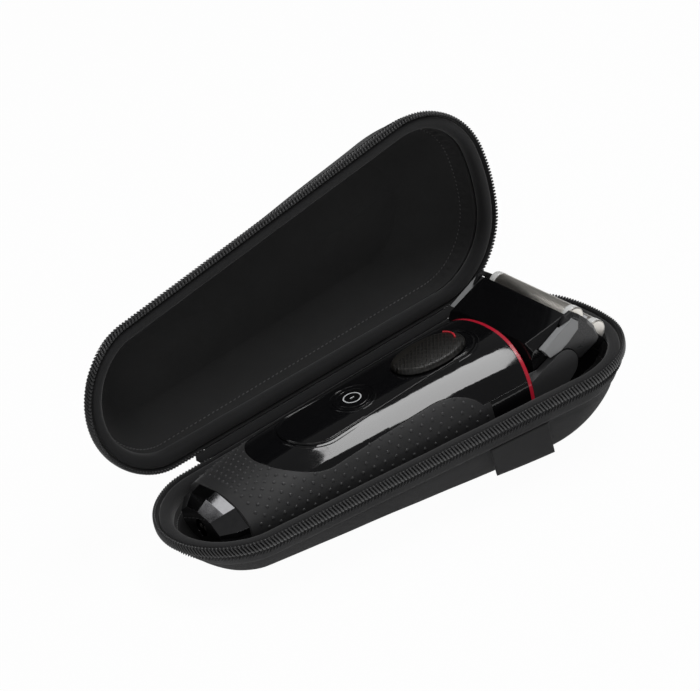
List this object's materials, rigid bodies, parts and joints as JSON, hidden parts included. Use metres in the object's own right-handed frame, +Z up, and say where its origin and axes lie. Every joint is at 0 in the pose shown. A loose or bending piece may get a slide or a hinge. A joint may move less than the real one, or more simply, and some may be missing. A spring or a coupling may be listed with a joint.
{
  "type": "electric shaver hard case",
  "caption": "Zipped hard case for an electric shaver, lid open, with the foil shaver lying in its fitted base.",
  "frame": {"origin": "centre of the flat bottom of the case base, on the surface the case stands on", "axes": "+Z up; +X along the case towards its wide end, where the shaver head lies; +Y across it, towards the hinge"},
  "size_m": [0.2013, 0.1186, 0.116],
  "materials": {
    "case_fabric": "black woven fabric bonded over moulded foam",
    "lining_fabric": "black knitted lining, smooth",
    "lip_fabric": "black soft rolled binding",
    "zip_tape_fabric": "black woven zip tape",
    "zip_coil": "dark nylon coil",
    "zip_metal": "black enamelled metal",
    "label_fabric": "black folded woven label, blank",
    "black_gloss": "piano black plastic",
    "grip_rubber": "matte rubber with small raised dots",
    "red_trim": "translucent red trim",
    "cover_grey": "dark grey satin plastic",
    "button_grey": "grey satin plastic",
    "switch_grey": "dark ribbed plastic with a small red arc",
    "foil_steel": "perforated steel foil",
    "cutter_steel": "steel lamella cutter",
    "contact_metal": "plated contact pins",
    "battery_sleeve": "shrink sleeve over a steel cell",
    "motor_steel": "motor can",
    "board_green": "circuit board",
    "frame_plastic": "natural white frame plastic"
  },
  "bodies": {
    "case_base": {"base_shell": "case_fabric", "base_lining": "lining_fabric", "base_lip": "lip_fabric", "base_zip_tape": "zip_tape_fabric", "base_zip_teeth": "zip_coil", "base_zip_stops": "zip_metal", "hinge_strip_base": "case_fabric", "hinge_fold": "case_fabric", "side_tag": "label_fabric"},
    "case_lid": {"lid_shell": "case_fabric", "lid_lining": "lining_fabric", "lid_lip": "lip_fabric", "lid_zip_tape": "zip_tape_fabric", "lid_zip_teeth": "zip_coil", "lid_zip_stops": "zip_metal", "hinge_strip_lid": "case_fabric"},
    "slider": {"zip_slider": "zip_metal"},
    "puller": {"zip_puller": "zip_metal"},
    "shaver_body": {"front_panel": "black_gloss", "control_panel": "black_gloss", "rubber_grip": "grip_rubber", "rear_housing": "black_gloss", "trim_ring": "red_trim", "end_cap": "black_gloss", "charge_contacts": "contact_metal", "chassis": "frame_plastic", "battery": "battery_sleeve", "motor": "motor_steel", "circuit_board": "board_green", "yoke": "cover_grey"},
    "power_key": {"power_button": "black_gloss"},
    "head_lock": {"lock_switch": "switch_grey"},
    "trimmer": {"trimmer_slide": "cover_grey", "trimmer_blade": "cutter_steel"},
    "shaver_head": {"head_frame": "black_gloss", "side_cover_left": "cover_grey", "side_cover_right": "cover_grey", "cassette_frame": "black_gloss"},
    "release_left": {"release_button_left": "button_grey"},
    "release_right": {"release_button_right": "button_grey"},
    "front_foil": {"foil_front": "foil_steel"},
    "rear_foil": {"foil_rear": "foil_steel"},
    "front_cutter": {"cutter_front": "cutter_steel"},
    "rear_cutter": {"cutter_rear": "cutter_steel"},
    "guard": {"comb_guard": "cutter_steel"},
    "bridge": {"drive_bridge": "frame_plastic"}
  },
  "joints": [
    {"name": "lid_hinge", "type": "hinge", "parent": "case_base", "child": "case_lid", "pos_m": [-0.00234, 0.03715, 0.0284], "axis": [-0.9942, -0.0728, -0.0795], "range_deg": [-91.5, 88.5]},
    {"name": "zip_travel", "type": "slide", "parent": "case_base", "child": "slider", "axis": [0.9119, -0.4039, 0.073], "range_m": [0, 0.006]},
    {"name": "puller_swing", "type": "hinge", "parent": "slider", "child": "puller", "pos_m": [0.07609, 0.04113, 0.03207], "axis": [-0.9119, 0.4039, -0.073], "range_deg": [-90, 0]},
    {"name": "shaver_lift", "type": "slide", "parent": "case_base", "child": "shaver_body", "axis": [-0.0797, 0, 0.9968], "range_m": [0, 0.06]},
    {"name": "power_press", "type": "slide", "parent": "shaver_body", "child": "power_key", "axis": [0.0797, 0, -0.9968], "range_m": [0, 0.0008], "stiffness_N_per_m": 500, "springref_m": -0.0004},
    {"name": "lock_slide", "type": "slide", "parent": "shaver_body", "child": "head_lock", "axis": [-0.9968, 0, -0.0797], "range_m": [0, 0.003]},
    {"name": "trimmer_slide", "type": "slide", "parent": "shaver_body", "child": "trimmer", "axis": [0.9968, 0, 0.0797], "range_m": [0, 0.008]},
    {"name": "head_swivel", "type": "hinge", "parent": "shaver_body", "child": "shaver_head", "pos_m": [0.05846, 0, 0.03432], "axis": [0, 1, 0], "range_deg": [-15, 15], "stiffness_Nm_per_rad": 0.8},
    {"name": "release_left_press", "type": "slide", "parent": "shaver_head", "child": "release_left", "axis": [0, -1, 0], "range_m": [0, 0.001], "stiffness_N_per_m": 500, "springref_m": -0.0002},
    {"name": "release_right_press", "type": "slide", "parent": "shaver_head", "child": "release_right", "axis": [0, 1, 0], "range_m": [0, 0.001], "stiffness_N_per_m": 500, "springref_m": -0.0002},
    {"name": "front_foil_float", "type": "slide", "parent": "shaver_head", "child": "front_foil", "axis": [-0.6874, 0, -0.7263], "range_m": [0, 0.0022], "stiffness_N_per_m": 400, "springref_m": -0.0004},
    {"name": "rear_foil_float", "type": "slide", "parent": "shaver_head", "child": "rear_foil", "axis": [-0.6874, 0, -0.7263], "range_m": [0, 0.0022], "stiffness_N_per_m": 400, "springref_m": -0.0004},
    {"name": "guard_float", "type": "slide", "parent": "shaver_head", "child": "guard", "axis": [-0.6874, 0, -0.7263], "range_m": [0, 0.002], "stiffness_N_per_m": 400, "springref_m": -0.0004},
    {"name": "front_cutter_drive", "type": "slide", "parent": "front_foil", "child": "front_cutter", "axis": [0, 1, 0], "range_m": [-0.0012, 0.0012]},
    {"name": "rear_cutter_drive", "type": "slide", "parent": "rear_foil", "child": "rear_cutter", "axis": [0, 1, 0], "range_m": [-0.0012, 0.0012]},
    {"name": "bridge_drive", "type": "slide", "parent": "shaver_head", "child": "bridge", "axis": [0, 1, 0], "range_m": [-0.0012, 0.0012]}
  ],
  "couplings": [
    {"joint": "rear_cutter_drive", "follows": "front_cutter_drive", "ratio": 1},
    {"joint": "bridge_drive", "follows": "front_cutter_drive", "ratio": 1}
  ]
}
